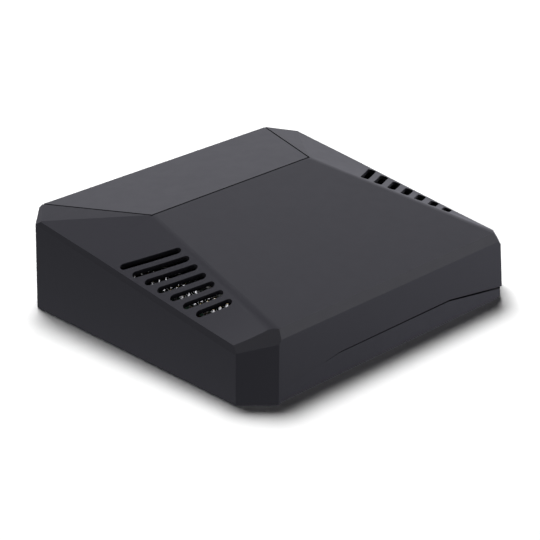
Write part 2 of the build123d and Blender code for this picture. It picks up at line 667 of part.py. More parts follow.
# ---------------------------------------------------------------- main board
with BuildPart() as main_board:
    with BuildSketch(Plane.XY.offset(BOARD_Z)):
        with Locations((0, (MAIN_FRONT + MAIN_REAR) / 2)):
            RectangleRounded(2 * MAIN_X, MAIN_REAR - MAIN_FRONT, BOARD_CORNER)
        with Locations(*BOARD_SCREWS):
            Circle(BOARD_SCREW_R + CUT_CLEAR, mode=Mode.SUBTRACT)
        with Locations(*HEATSINK_SCREWS):
            Circle(BOARD_SCREW_R + CUT_CLEAR, mode=Mode.SUBTRACT)
        with Locations(PIN_CENTRE):
            with GridLocations(PIN_PITCH, PIN_PITCH, PIN_COLUMNS, PIN_ROWS):
                Circle(PIN_HOLE_R, mode=Mode.SUBTRACT)
    extrude(amount=BOARD_SKIN)
main_board.part.label = "main_board"
export_step(main_board.part, "parts/main_board.step")

with BuildPart() as board_screws:
    add(screws(BOARD_SCREWS, BOARD_TOP, BOARD_SKIN + BOARD_SCREW_GRIP - SCREW_END, BOARD_SCREW_R,
               BOARD_HEAD, 1))
board_screws.part.label = "board_screws"
export_step(board_screws.part, "parts/board_screws.step")


def chip(centre, size, base_z):
    """A moulded package with softened top edges."""
    with BuildPart() as package:
        with Locations((centre[0], centre[1], base_z)):
            Box(*size, align=STAND_UP)
        chamfer(package.faces().sort_by(Axis.Z)[-1].edges(), CHIP_EDGE)
    return package.part


# name: (size, centres) of the packages soldered on the main board
PACKAGES = {
    "processor": ((19.0, 19.0, 1.6), [CHIP_CENTRE]),
    "memory_chips": ((8.0, 12.5, 1.1), [(-5.5, -14.0), (-5.5, 0.0)]),
    "flash_chip": ((8.0, 6.0, 1.0), [(24.5, -12.0)]),
    "switch_chip": ((10.0, 10.0, 1.0), [(25.0, 21.5)]),
    "line_transformer_wan": ((12.0, 7.0, 5.4), [(-6.3, 20.5)]),
    "line_transformer_lan": ((12.0, 7.0, 5.4), [(10.5, 20.5)]),
    "power_inductor": ((6.5, 6.5, 3.2), [(-19.4, 29.0)]),
    "crystal": ((5.0, 3.2, 1.2), [(24.0, 0.0)]),
}
for package_name, (package_size, package_centres) in PACKAGES.items():
    with BuildPart() as package_part:
        for package_centre in package_centres:
            add(chip(package_centre, package_size, BOARD_TOP))
    package_part.part.label = package_name
    export_step(package_part.part, f"parts/{package_name}.step")

with BuildPart() as capacitors:
    with Locations(*[(x, y, BOARD_TOP) for x, y in CAPACITOR_SPOTS]):
        Cylinder(CAPACITOR_R, CAPACITOR_TALL, align=STAND_UP)
    fillet(capacitors.faces().group_by(Axis.Z)[-1].edges(), CAPACITOR_EDGE)
capacitors.part.label = "capacitors"
export_step(capacitors.part, "parts/capacitors.step")

# ---------------------------------------------------------------- cooling
pad_z = BOARD_TOP + PACKAGES["processor"][0][2]
sink_z = pad_z + PAD_SKIN

with BuildPart() as thermal_pad:
    with Locations((*CHIP_CENTRE, pad_z)):
        Box(PAD_SIDE, PAD_SIDE, PAD_SKIN, align=STAND_UP)
thermal_pad.part.label = "thermal_pad"
export_step(thermal_pad.part, "parts/thermal_pad.step")

with BuildPart() as heatsink:
    with Locations((*SINK_CENTRE, sink_z)):
        Box(SINK_SIDE, SINK_SIDE, SINK_PLATE, align=STAND_UP)
    with Locations((*SINK_CENTRE, sink_z + SINK_PLATE)):
        with GridLocations(FIN_PITCH, 0, FIN_COUNT, 1):
            Box(FIN_SKIN, SINK_SIDE, SINK_TOP - sink_z - SINK_PLATE, align=STAND_UP)
    with Locations(*[(x, y, sink_z + SINK_PLATE) for x, y in HEATSINK_SCREWS]):
        Cylinder(FIN_CLEAR_R, TALL, align=STAND_UP, mode=Mode.SUBTRACT)
    with Locations(*[(x, y, 0) for x, y in HEATSINK_SCREWS]):
        Cylinder(BOARD_SCREW_R + CUT_CLEAR, TALL, align=STAND_UP, mode=Mode.SUBTRACT)
heatsink.part.label = "heatsink"
export_step(heatsink.part, "parts/heatsink.step")

with BuildPart() as heatsink_screws:
    add(screws(HEATSINK_SCREWS, sink_z + SINK_PLATE, sink_z + SINK_PLATE - BOARD_Z + SINK_SCREW_END,
               BOARD_SCREW_R, BOARD_HEAD, 1))
heatsink_screws.part.label = "heatsink_screws"
export_step(heatsink_screws.part, "parts/heatsink_screws.step")

# ---------------------------------------------------------------- radio card on its pin header
with BuildPart() as radio_card:
    with BuildSketch(Plane.XY.offset(CARD_Z)):
        with Locations((sum(CARD_X) / 2, sum(CARD_Y) / 2)):
            RectangleRounded(CARD_X[1] - CARD_X[0], CARD_Y[1] - CARD_Y[0], CARD_CORNER)
        with Locations(*CARD_POSTS):
            Circle(BOARD_SCREW_R + CUT_CLEAR, mode=Mode.SUBTRACT)
        with Locations(PIN_CENTRE):
            with GridLocations(PIN_PITCH, PIN_PITCH, PIN_COLUMNS, PIN_ROWS):
                Circle(PIN_HOLE_R, mode=Mode.SUBTRACT)
    extrude(amount=CARD_SKIN)
radio_card.part.label = "radio_card"
export_step(radio_card.part, "parts/radio_card.step")

with BuildPart() as card_standoffs:
    with BuildSketch(Plane.XY.offset(BOARD_TOP)):
        with Locations(*CARD_POSTS):
            RegularPolygon(POST_R, 6)
            Circle(BOARD_SCREW_R + PRESS_CLEAR, mode=Mode.SUBTRACT)
    extrude(amount=CARD_Z - BOARD_TOP)
card_standoffs.part.label = "card_standoffs"
export_step(card_standoffs.part, "parts/card_standoffs.step")

with BuildPart() as card_screws:
    add(screws(CARD_POSTS, CARD_TOP, CARD_SKIN + CARD_SCREW_GRIP, BOARD_SCREW_R, CARD_HEAD, 1))
card_screws.part.label = "card_screws"
export_step(card_screws.part, "parts/card_screws.step")

with BuildPart() as card_header:
    with BuildSketch(Plane.XY.offset(BOARD_TOP)):
        with Locations(PIN_CENTRE):
            Rectangle(PIN_COLUMNS * PIN_PITCH + HEADER_RIM, PIN_ROWS * PIN_PITCH + HEADER_RIM)
            with GridLocations(PIN_PITCH, PIN_PITCH, PIN_COLUMNS, PIN_ROWS):
                Rectangle(2 * PIN_R + PRESS_CLEAR, 2 * PIN_R + PRESS_CLEAR, mode=Mode.SUBTRACT)
    extrude(amount=CARD_Z - BOARD_TOP)
card_header.part.label = "card_header"
export_step(card_header.part, "parts/card_header.step")

with BuildPart() as header_pins:
    with BuildSketch(Plane.XY.offset(BOARD_Z - PIN_TAIL)):
        with Locations(PIN_CENTRE):
            with GridLocations(PIN_PITCH, PIN_PITCH, PIN_COLUMNS, PIN_ROWS):
                Rectangle(2 * PIN_R, 2 * PIN_R)
    extrude(amount=CARD_TOP + PIN_TIP - BOARD_Z + PIN_TAIL)
header_pins.part.label = "header_pins"
export_step(header_pins.part, "parts/header_pins.step")

with BuildPart() as header_solder:
    with Locations((*PIN_CENTRE, CARD_TOP)):
        with GridLocations(PIN_PITCH, PIN_PITCH, PIN_COLUMNS, PIN_ROWS):
            Cone(SOLDER_R, SOLDER_TIP_R, SOLDER_RISE, align=STAND_UP)
            Box(2 * PIN_R, 2 * PIN_R, 2 * SOLDER_RISE, align=STAND_UP, mode=Mode.SUBTRACT)
header_solder.part.label = "header_solder"
export_step(header_solder.part, "parts/header_solder.step")

for band, can_y in CAN_SPOTS.items():
    with BuildPart() as shield_frame:
        with BuildSketch(Plane.XY.offset(CARD_TOP)):
            with Locations((CAN_X, can_y)):
                Rectangle(CAN_SIZE[0], CAN_SIZE[1])
                Rectangle(CAN_SIZE[0] - 2 * CAN_SKIN, CAN_SIZE[1] - 2 * CAN_SKIN, mode=Mode.SUBTRACT)
        extrude(amount=CAN_SIZE[2])
    shield_frame.part.label = f"shield_frame_{band}"
    export_step(shield_frame.part, f"parts/shield_frame_{band}.step")
    with BuildPart() as shield_lid:
        with BuildSketch(Plane.XY.offset(CARD_TOP + CAN_SIZE[2])):
            with Locations((CAN_X, can_y)):
                RectangleRounded(CAN_SIZE[0] + LID_OVER, CAN_SIZE[1] + LID_OVER, LID_CORNER)
                with GridLocations(LID_HOLE_PITCH, LID_HOLE_PITCH, LID_HOLE_COUNT, LID_HOLE_COUNT):
                    Circle(LID_HOLE_R, mode=Mode.SUBTRACT)
        extrude(amount=CAN_SKIN)
    shield_lid.part.label = f"shield_lid_{band}"
    export_step(shield_lid.part, f"parts/shield_lid_{band}.step")

with BuildPart() as radio_chips:
    for can_y in CAN_SPOTS.values():
        add(chip((CAN_X, can_y), RADIO_CHIP, CARD_TOP))
radio_chips.part.label = "radio_chips"
export_step(radio_chips.part, "parts/radio_chips.step")

# ---------------------------------------------------------------- antennas and their leads
with BuildPart() as coax_connectors:
    with Locations(*[(x, y, CARD_TOP) for x, y in COAX_SPOTS.values()]):
        Box(*COAX_PAD, align=STAND_UP)
        Cylinder(COAX_RING_R, COAX_RING_TOP, align=STAND_UP)
        Cylinder(COAX_RING_R - COAX_RING_SKIN, 2 * COAX_RING_TOP, align=STAND_UP, mode=Mode.SUBTRACT)
coax_connectors.part.label = "coax_connectors"
export_step(coax_connectors.part, "parts/coax_connectors.step")


def bend_radii(points):
    """Largest tidy arc at each inner point of a lead's route."""
    radii = []
    for before, here, after in zip(points, points[1:], points[2:]):
        come = Vector(*here) - Vector(*before)
        go = Vector(*after) - Vector(*here)
        turn = math.radians(come.get_angle(go))
        radii.append(BEND_SHARE * min(come.length, go.length) / math.tan(turn / 2))
    return radii


for antenna_name, (centre, size, along) in ANTENNAS.items():
    length, height = size
    board = (length, ANTENNA_SKIN, height) if along == "x" else (ANTENNA_SKIN, length, height)
    notch = (length / 3, height, height / 4) if along == "x" else (height, length / 3, height / 4)
    with BuildPart() as antenna:
        with Locations((*centre, ANTENNA_Z)):
            Box(*board, align=STAND_UP)
        with Locations((*centre, ANTENNA_Z + height)):
            Box(*notch, mode=Mode.SUBTRACT)
    antenna.part.label = f"antenna_{antenna_name}"
    export_step(antenna.part, f"parts/antenna_{antenna_name}.step")

for antenna_name, middle_points in LEAD_ROUTES.items():
    start = (*COAX_SPOTS[antenna_name], LEAD_Z)
    centre, size, along = ANTENNAS[antenna_name]
    near = ANTENNA_SKIN / 2
    last_x, last_y, last_z = middle_points[-1]
    if along == "x":
        end = (last_x, centre[1] + near, last_z)
    else:
        end = (centre[0] - math.copysign(near, centre[0]), last_y, last_z)
    route = [start, *middle_points, end]
    radii = bend_radii(route)
    print(antenna_name, "lead bend radii", [round(r, 1) for r in radii])
    with BuildPart() as lead:
        with BuildLine() as path:
            FilletPolyline(*route, radius=radii)
        with BuildSketch(Plane(origin=path.line @ 0, z_dir=path.line % 0)):
            Circle(LEAD_R)
        sweep(path=path.line)
        with Locations((*COAX_SPOTS[antenna_name], CARD_TOP + BOOT_LOW)):
            Cylinder(COAX_RING_R + BOOT_SKIN, LEAD_Z - CARD_TOP - BOOT_LOW, align=STAND_UP)
            Cylinder(COAX_RING_R + PRESS_CLEAR, COAX_RING_TOP - BOOT_LOW + PRESS_CLEAR, align=STAND_UP,
                     mode=Mode.SUBTRACT)
    lead.part.label = f"antenna_lead_{antenna_name}"
    export_step(lead.part, f"parts/antenna_lead_{antenna_name}.step")

# ---------------------------------------------------------------- Ethernet jacks
jack_face = PANEL_FACE + PORT_PROUD
insert_z = BOARD_TOP + JACK_SKIN + PRESS_CLEAR
insert_face = jack_face - INSERT_SUNK
for port, jack_x in JACK_SPOTS.items():
    with BuildPart() as jack_shell:
        with Locations((jack_x, jack_face, BOARD_TOP)):
            Box(*JACK_SIZE, align=BACK_UP)
        with Locations((jack_x, jack_face, BOARD_TOP + JACK_SKIN)):
            Box(JACK_SIZE[0] - 2 * JACK_SKIN, JACK_SIZE[1] - JACK_SKIN, JACK_SIZE[2] - 2 * JACK_SKIN,
                align=BACK_UP, mode=Mode.SUBTRACT)
    jack_shell.part.label = f"ethernet_shell_{port}"
    export_step(jack_shell.part, f"parts/ethernet_shell_{port}.step")
    with BuildPart() as jack_insert:
        with Locations((jack_x, insert_face, insert_z)):
            Box(JACK_SIZE[0] - 2 * JACK_SKIN - SNUG, JACK_SIZE[1] - INSERT_SHORT,
                JACK_SIZE[2] - 2 * JACK_SKIN - SNUG, align=BACK_UP)
        with Locations((jack_x, insert_face, SOCKET_LOW)):
            Box(*SOCKET_SIZE, align=BACK_UP, mode=Mode.SUBTRACT)
        with Locations((jack_x, insert_face, SOCKET_LOW - LATCH_SIZE[2])):
            Box(*LATCH_SIZE, align=BACK_UP, mode=Mode.SUBTRACT)
        with Locations((jack_x - LAMP_X, insert_face, LAMP_Z), (jack_x + LAMP_X, insert_face, LAMP_Z)):
            Box(*[side + SNUG for side in LAMP_SIZE], align=BACK_MID, mode=Mode.SUBTRACT)
    jack_insert.part.label = f"ethernet_insert_{port}"
    export_step(jack_insert.part, f"parts/ethernet_insert_{port}.step")
    with BuildPart() as jack_contacts:
        with Locations(Location((jack_x, CONTACT_CENTRE[0], CONTACT_CENTRE[1]), (CONTACT_TILT, 0, 0))):
            with GridLocations(CONTACT_PITCH, 0, CONTACT_COUNT, 1):
                Box(CONTACT_SECTION[0], CONTACT_LENGTH, CONTACT_SECTION[1])
    jack_contacts.part.label = f"ethernet_contacts_{port}"
    export_step(jack_contacts.part, f"parts/ethernet_contacts_{port}.step")

with BuildPart() as ethernet_lamps:
    for jack_x in JACK_SPOTS.values():
        with Locations((jack_x - LAMP_X, insert_face, LAMP_Z), (jack_x + LAMP_X, insert_face, LAMP_Z)):
            Box(*LAMP_SIZE, align=BACK_MID)
ethernet_lamps.part.label = "ethernet_lamps"
export_step(ethernet_lamps.part, "parts/ethernet_lamps.step")

# ---------------------------------------------------------------- power inlet
bore_z = BOARD_TOP + POWER_JACK_SIZE[2] / 2 + POWER_BORE_LIFT
with BuildPart() as power_jack:
    with Locations((POWER_JACK_X, jack_face, BOARD_TOP)):
        Box(*POWER_JACK_SIZE, align=BACK_UP)
    chamfer(power_jack.faces().sort_by(Axis.Y)[-1].edges(), EDGE_SOFT)
    with BuildSketch(Plane.XZ.offset(-jack_face)):
        with Locations((POWER_JACK_X, bore_z)):
            Circle(POWER_BORE_R)
    extrude(amount=POWER_BORE_DEPTH, mode=Mode.SUBTRACT)
    with BuildSketch(Plane.XZ.offset(-jack_face)):
        with Locations((POWER_JACK_X, bore_z)):
            Circle(POWER_PIN_R)
    extrude(amount=POWER_BORE_DEPTH + POWER_PIN_GRIP, mode=Mode.SUBTRACT)
power_jack.part.label = "power_jack"
export_step(power_jack.part, "parts/power_jack.step")

with BuildPart() as power_jack_pin:
    with BuildSketch(Plane.XZ.offset(-jack_face + POWER_PIN_SUNK)):
        with Locations((POWER_JACK_X, bore_z)):
            Circle(POWER_PIN_R)
    extrude(amount=POWER_BORE_DEPTH + POWER_PIN_GRIP - POWER_PIN_SUNK)
    chamfer(power_jack_pin.faces().sort_by(Axis.Y)[-1].edges(), EDGE_SOFT)
power_jack_pin.part.label = "power_jack_pin"
export_step(power_jack_pin.part, "parts/power_jack_pin.step")

# ---------------------------------------------------------------- buttons and their switches
with BuildPart() as power_button:
    with BuildSketch(Plane.XZ.offset(-BUTTON_BACK)):
        with Locations((POWER_BUTTON_X, PORT_Z)):
            RectangleRounded(BUTTON_SIZE[0], BUTTON_SIZE[1], BUTTON_CORNER)
    extrude(amount=-(PANEL_FACE + BUTTON_PROUD - BUTTON_BACK))
    fillet(power_button.faces().sort_by(Axis.Y)[-1].edges(), BUTTON_EDGE)
    with BuildSketch(Plane.XZ.offset(-BUTTON_BACK)):
        with Locations((POWER_BUTTON_X, PORT_Z)):
            RectangleRounded(BUTTON_SIZE[0] + 2 * BUTTON_RIM, BUTTON_SIZE[1] + 2 * BUTTON_RIM,
                             BUTTON_CORNER + BUTTON_RIM)
    extrude(amount=BUTTON_FLANGE)
power_button.part.label = "power_button"
export_step(power_button.part, "parts/power_button.step")

with BuildPart() as power_plunger:
    with BuildSketch(Plane.XZ.offset(-PLUNGER_TIP_Y)):
        with Locations((POWER_BUTTON_X, PORT_Z)):
            Circle(POWER_PLUNGER_R)
    extrude(amount=-(BUTTON_BACK - BUTTON_FLANGE - PLUNGER_TIP_Y))
power_plunger.part.label = "power_plunger"
export_step(power_plunger.part, "parts/power_plunger.step")

with BuildPart() as reset_button:
    with BuildSketch(Plane.XZ.offset(-PLUNGER_TIP_Y)):
        with Locations((RESET_X, PORT_Z)):
            Circle(RESET_R)
    extrude(amount=-(PANEL_FACE - RESET_SUNK - PLUNGER_TIP_Y))
    with BuildSketch(Plane.XZ.offset(-BUTTON_BACK)):
        with Locations((RESET_X, PORT_Z)):
            Circle(2 * RESET_R)
    extrude(amount=BUTTON_FLANGE)
reset_button.part.label = "reset_button"
export_step(reset_button.part, "parts/reset_button.step")

# name: (x, width, height, bore radius) of the two upright switches
SWITCHES = {
    "power_switch": (POWER_BUTTON_X, 6.2, 8.5, POWER_PLUNGER_R + BUTTON_GAP),
    "reset_switch": (RESET_X, 4.6, 7.4, RESET_R + BUTTON_GAP),
}
for switch_name, (switch_x, switch_width, switch_height, bore_r) in SWITCHES.items():
    with BuildPart() as switch:
        with Locations((switch_x, SWITCH_FACE_Y, BOARD_TOP)):
            Box(switch_width, SWITCH_DEPTH, switch_height, align=BACK_UP)
        with BuildSketch(Plane.XZ.offset(-SWITCH_FACE_Y)):
            with Locations((switch_x, PORT_Z)):
                Circle(bore_r)
        extrude(amount=SWITCH_DEPTH - SWITCH_SKIN, mode=Mode.SUBTRACT)
    switch.part.label = switch_name
    export_step(switch.part, f"parts/{switch_name}.step")

# ---------------------------------------------------------------- status light
with BuildPart() as status_lens:
    with BuildSketch(Plane.XZ.offset(-LENS_BACK_Y)):
        with Locations((LENS_X, LENS_Z)):
            Circle(LENS_R)
    extrude(amount=-(jack_face - LENS_BACK_Y))
    fillet(status_lens.faces().sort_by(Axis.Y)[-1].edges(), EDGE_SOFT)
status_lens.part.label = "status_lens"
export_step(status_lens.part, "parts/status_lens.step")

with BuildPart() as status_led:
    with Locations((LENS_X, LENS_BACK_Y - LED_GAP, BOARD_TOP)):
        Box(*LED_SIZE, align=BACK_UP)
status_led.part.label = "status_led"
export_step(status_led.part, "parts/status_led.step")
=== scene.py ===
import bmesh
import bpy
from mathutils import Matrix, Vector


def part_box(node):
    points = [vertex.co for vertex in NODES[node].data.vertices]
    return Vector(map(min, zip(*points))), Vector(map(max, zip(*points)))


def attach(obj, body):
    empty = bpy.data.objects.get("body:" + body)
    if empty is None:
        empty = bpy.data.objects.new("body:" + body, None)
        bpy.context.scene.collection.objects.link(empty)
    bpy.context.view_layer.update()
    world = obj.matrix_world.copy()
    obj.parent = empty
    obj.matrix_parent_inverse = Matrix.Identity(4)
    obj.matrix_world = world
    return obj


# Looks for the mesh wifi node. Everything is in metres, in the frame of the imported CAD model.

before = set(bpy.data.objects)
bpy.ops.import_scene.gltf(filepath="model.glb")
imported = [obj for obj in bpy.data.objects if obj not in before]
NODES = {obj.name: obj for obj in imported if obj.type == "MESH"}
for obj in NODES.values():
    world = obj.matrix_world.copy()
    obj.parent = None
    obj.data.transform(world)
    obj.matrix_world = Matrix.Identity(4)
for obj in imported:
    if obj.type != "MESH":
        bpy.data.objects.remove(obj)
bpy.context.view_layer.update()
scene = bpy.context.scene
MM = 0.001


# ---------------------------------------------------------------- material helpers
class Material:
    """A new material and short calls to add and join its nodes."""

    def __init__(self, name):
        self.material = bpy.data.materials.new(name)
        self.material.use_nodes = True
        self.tree = self.material.node_tree
        self.shader = self.tree.nodes["Principled BSDF"]
        self.place = self.tree.nodes.new("ShaderNodeTexCoord").outputs["Object"]

    def add(self, kind, inputs=None, **settings):
        node = self.tree.nodes.new(kind)
        for key, value in settings.items():
            setattr(node, key, value)
        for key, value in (inputs or {}).items():
            if isinstance(value, bpy.types.NodeSocket):
                self.tree.links.new(value, node.inputs[key])
            else:
                node.inputs[key].default_value = value
        return node

    def link(self, output, socket):
        self.tree.links.new(output, self.shader.inputs[socket])

    def scaled(self, scale):
        """The object coordinates stretched by scale, for long grain."""
        return self.add("ShaderNodeMapping", {"Vector": self.place, "Scale": scale}).outputs["Vector"]

    def noise(self, scale, detail=3.0, rough=0.55, vector=None):
        """Noise between 0 and 1, with scale cells to the metre."""
        return self.add("ShaderNodeTexNoise", {"Vector": vector or self.place, "Scale": scale,
                                               "Detail": detail, "Roughness": rough}).outputs["Fac"]

    def ramp(self, value, stops):
        """stops is a list of (position, grey or colour)."""
        node = self.add("ShaderNodeValToRGB", {"Fac": value})
        elements = node.color_ramp.elements
        while len(elements) < len(stops):
            elements.new(0.5)
        for element, (position, colour) in zip(elements, stops):
            element.position = position
            element.color = (*colour, 1) if isinstance(colour, tuple) else (colour, colour, colour, 1)
        return node.outputs["Color"]

    def mix(self, factor, a, b, blend="MIX"):
        node = self.add("ShaderNodeMix", data_type="RGBA", blend_type=blend)
        for index, value in ((0, factor), (6, a), (7, b)):
            if isinstance(value, bpy.types.NodeSocket):
                self.tree.links.new(value, node.inputs[index])
            else:
                node.inputs[index].default_value = (*value, 1) if isinstance(value, tuple) else value
        return node.outputs[2]

    def spread(self, value, low, high):
        """A 0 to 1 value carried to the range low to high."""
        return self.add("ShaderNodeMapRange", {"Value": value, "From Min": 0.3, "From Max": 0.7,
                                               "To Min": low, "To Max": high}).outputs["Result"]

    def bump(self, height, distance):
        """Relief from a 0 to 1 value, distance deep in metres."""
        node = self.add("ShaderNodeBump", {"Height": height, "Distance": distance, "Strength": 1.0})
        self.link(node.outputs["Normal"], "Normal")


def tint(colour, factor):
    return tuple(min(1.0, channel * factor) for channel in colour)


def moulded(name, colour, rough, grain=0.02, grain_size=0.35, specular=0.4, spread=0.08, patchy=1.0):
    """Moulded plastic: a fine spark-eroded grain and slow changes of tone and gloss."""
    m = Material(name)
    slow = m.noise(45, 2)
    fine = m.noise(1 / (grain_size * MM), 3, 0.6)
    m.link(m.ramp(slow, [(0.3, tint(colour, 1 - spread)), (0.7, tint(colour, 1 + spread))]), "Base Color")
    m.link(m.spread(m.noise(260, 3), rough - 0.03 * patchy, rough + 0.04 * patchy), "Roughness")
    m.shader.inputs["Specular IOR Level"].default_value = specular
    m.bump(fine, grain * MM)
    return m.material


STAIN = 0.12  # how far the tone of a metal wanders


def metal(name, colour, rough, grain=(1, 1, 1), grain_size=0.2, depth=0.004):
    """Metal with a brushed or rolled grain along the axis with the smallest stretch."""
    m = Material(name)
    m.shader.inputs["Metallic"].default_value = 1.0
    long = m.noise(1 / (grain_size * MM), 4, 0.6, m.scaled(grain))
    slow = m.noise(160, 3)
    m.link(m.ramp(slow, [(0.3, tint(colour, 1 - STAIN)), (0.7, tint(colour, 1 + STAIN / 2))]), "Base Color")
    m.link(m.spread(long, rough - 0.06, rough + 0.1), "Roughness")
    m.bump(long, depth * MM)
    return m.material


def laminate(name, mask, track, edge):
    """Circuit board: solder mask with tracks under it on both faces, and a glass-resin edge."""
    m = Material(name)
    cells = m.add("ShaderNodeTexVoronoi", {"Vector": m.scaled((1, 1, 0.001)), "Scale": 420.0},
                  distance="MANHATTAN").outputs["Distance"]
    tracks = m.ramp(cells, [(0.0, 1.0), (0.08, 1.0), (0.1, 0.0), (0.42, 0.0), (0.46, 1.0), (0.52, 1.0),
                            (0.56, 0.0)])
    weave = m.noise(2600, 2)
    face = m.mix(tracks, mask, track)
    face = m.mix(m.spread(weave, 0.0, 0.25), face, tint(mask, 0.6))
    normal = m.add("ShaderNodeNewGeometry").outputs["Normal"]
    up = m.add("ShaderNodeSeparateXYZ", {"Vector": normal}).outputs["Z"]
    steep = m.add("ShaderNodeMath", {0: up}, operation="ABSOLUTE").outputs[0]
    flat = m.add("ShaderNodeMath", {0: steep, 1: 0.5}, operation="GREATER_THAN").outputs[0]
    layers = m.noise(5200, 2, 0.5, m.scaled((0.06, 0.06, 1)))
    side = m.ramp(layers, [(0.35, tint(edge, 0.8)), (0.65, tint(edge, 1.2))])
    m.link(m.mix(flat, side, face), "Base Color")
    m.link(m.spread(weave, 0.28, 0.4), "Roughness")
    m.bump(tracks, 0.012 * MM)
    return m.material


def rubber(name, colour, rough=0.75):
    """Soft rubber or silicone with fine pits."""
    m = Material(name)
    fine = m.noise(3200, 4, 0.7)
    m.link(m.ramp(m.noise(220, 3), [(0.3, tint(colour, 0.85)), (0.7, tint(colour, 1.2))]), "Base Color")
    m.link(m.spread(fine, rough - 0.06, rough + 0.06), "Roughness")
    m.shader.inputs["Specular IOR Level"].default_value = 0.3
    m.bump(fine, 0.02 * MM)
    return m.material


def clear(name, colour, rough):
    """Light guide: clear tinted plastic with faint flow marks."""
    m = Material(name)
    flow = m.noise(900, 3, 0.5, m.scaled((1, 0.2, 1)))
    m.link(m.ramp(flow, [(0.3, tint(colour, 0.9)), (0.7, colour)]), "Base Color")
    m.link(m.spread(flow, rough, rough + 0.06), "Roughness")
    m.shader.inputs["Transmission Weight"].default_value = 0.35
    m.bump(flow, 0.004 * MM)
    return m.material


def dress(material, *names):
    """Gives a material to CAD nodes."""
    for name in names:
        NODES[name].data.materials.clear()
        NODES[name].data.materials.append(material)


# ---------------------------------------------------------------- materials on the CAD nodes
SHELL_GREY = (0.0110, 0.0106, 0.0152)
BLACK = (0.012, 0.012, 0.0125)
BRASS = (0.83, 0.62, 0.28)
TIN = (0.82, 0.82, 0.8)
STEEL = (0.62, 0.62, 0.62)

SHELL_FINISH = {"rough": 0.42, "grain": 0.006, "grain_size": 0.3, "specular": 0.5, "spread": 0.03,
                "patchy": 0.4}
dress(moulded("shell_satin", SHELL_GREY, **SHELL_FINISH), "upper_shell")
# The cover is the shell grey made 12% lighter. A little of that is its own plastic; most is painted light for
# the brighter light its sloped face catches.
dress(moulded("cover_satin_painted_light", tint(SHELL_GREY, 1.12), **SHELL_FINISH), "rear_cover")
# The base is the shell grey made 20% lighter: painted light that lifts the shade on its inset lip near the
# floor.
dress(moulded("base_grain_painted_light", tint(SHELL_GREY, 1.2), rough=0.45, grain=0.01, grain_size=0.35, specular=0.5),
      "base_shell")
dress(moulded("panel_grain", tint(SHELL_GREY, 0.72), rough=0.5, grain_size=0.4), "port_panel")
dress(moulded("button_satin", tint(SHELL_GREY, 2.2), rough=0.4, grain=0.008, grain_size=0.3, specular=0.45),
      "power_button", "reset_button")
dress(moulded("natural_nylon", (0.62, 0.59, 0.52), rough=0.5, grain=0.006, grain_size=0.3), "power_plunger")
dress(moulded("black_nylon", BLACK, rough=0.5, grain=0.01, grain_size=0.3, specular=0.45),
      "ethernet_insert_wan", "ethernet_insert_lan", "card_header", "power_jack", "power_switch",
      "reset_switch")
dress(moulded("chip_resin", (0.02, 0.02, 0.021), rough=0.58, grain=0.012, grain_size=0.12),
      "processor", "memory_chips", "flash_chip", "switch_chip", "radio_chips", "line_transformer_wan",
      "line_transformer_lan")
dress(moulded("ferrite", (0.06, 0.06, 0.063), rough=0.7, grain=0.03, grain_size=0.25, specular=0.3,
              spread=0.2), "power_inductor")
dress(moulded("led_package", (0.8, 0.8, 0.74), rough=0.45, grain=0.004, grain_size=0.2, specular=0.5),
      "status_led")
dress(rubber("foot_rubber", (0.016, 0.016, 0.016)), "rubber_feet")
dress(rubber("thermal_silicone", (0.3, 0.38, 0.46), rough=0.8), "thermal_pad")
dress(rubber("lead_jacket", (0.02, 0.02, 0.022), rough=0.5), "antenna_lead_front_left",
      "antenna_lead_front_right", "antenna_lead_side_left", "antenna_lead_side_right")
dress(metal("screw_zinc", (0.55, 0.55, 0.56), rough=0.34, grain=(1, 1, 0.3), grain_size=0.15),
      "case_screws", "board_screws", "card_screws", "heatsink_screws", "catch_discs")
dress(metal("magnet_nickel", (0.74, 0.72, 0.68), rough=0.18), "cover_magnets")
dress(metal("sink_aluminium", (0.78, 0.79, 0.8), rough=0.36, grain=(1, 0.05, 1), grain_size=0.12,
            depth=0.006), "heatsink")
dress(metal("can_aluminium", (0.8, 0.8, 0.81), rough=0.25, grain=(1, 1, 0.1)), "capacitors")
dress(metal("shield_tin", TIN, rough=0.3, grain=(0.1, 1, 1)),
      "shield_frame_24", "shield_frame_5", "shield_lid_24", "shield_lid_5", "crystal")
dress(metal("jack_nickel", STEEL, rough=0.28, grain=(1, 0.08, 1), grain_size=0.15),
      "ethernet_shell_wan", "ethernet_shell_lan")
dress(metal("inlet_nickel", (0.78, 0.77, 0.74), rough=0.2, grain=(1, 0.1, 1)), "power_jack_pin")
dress(metal("turned_brass", (0.78, 0.58, 0.26), rough=0.26, grain=(1, 1, 8), grain_size=0.3),
      "card_standoffs")
dress(metal("contact_gold", BRASS, rough=0.22),
      "header_pins", "ethernet_contacts_wan", "ethernet_contacts_lan", "coax_connectors")
dress(metal("bright_solder", (0.93, 0.93, 0.92), rough=0.22, grain_size=0.4, depth=0.02), "header_solder")
dress(laminate("main_laminate", mask=(0.012, 0.075, 0.035), track=(0.03, 0.16, 0.07), edge=(0.3, 0.26, 0.13)),
      "main_board")
dress(laminate("card_laminate", mask=(0.02, 0.045, 0.03), track=(0.05, 0.1, 0.06), edge=(0.2, 0.12, 0.055)),
      "radio_card")
dress(laminate("antenna_laminate", mask=(0.012, 0.012, 0.013), track=(0.04, 0.035, 0.03),
               edge=(0.25, 0.22, 0.12)),
      "antenna_front_left", "antenna_front_right", "antenna_side_left", "antenna_side_right")
dress(clear("lens_clear", (0.9, 0.92, 0.92), rough=0.12), "status_lens")
dress(clear("lamp_clear", (0.55, 0.75, 0.35), rough=0.2), "ethernet_lamps")


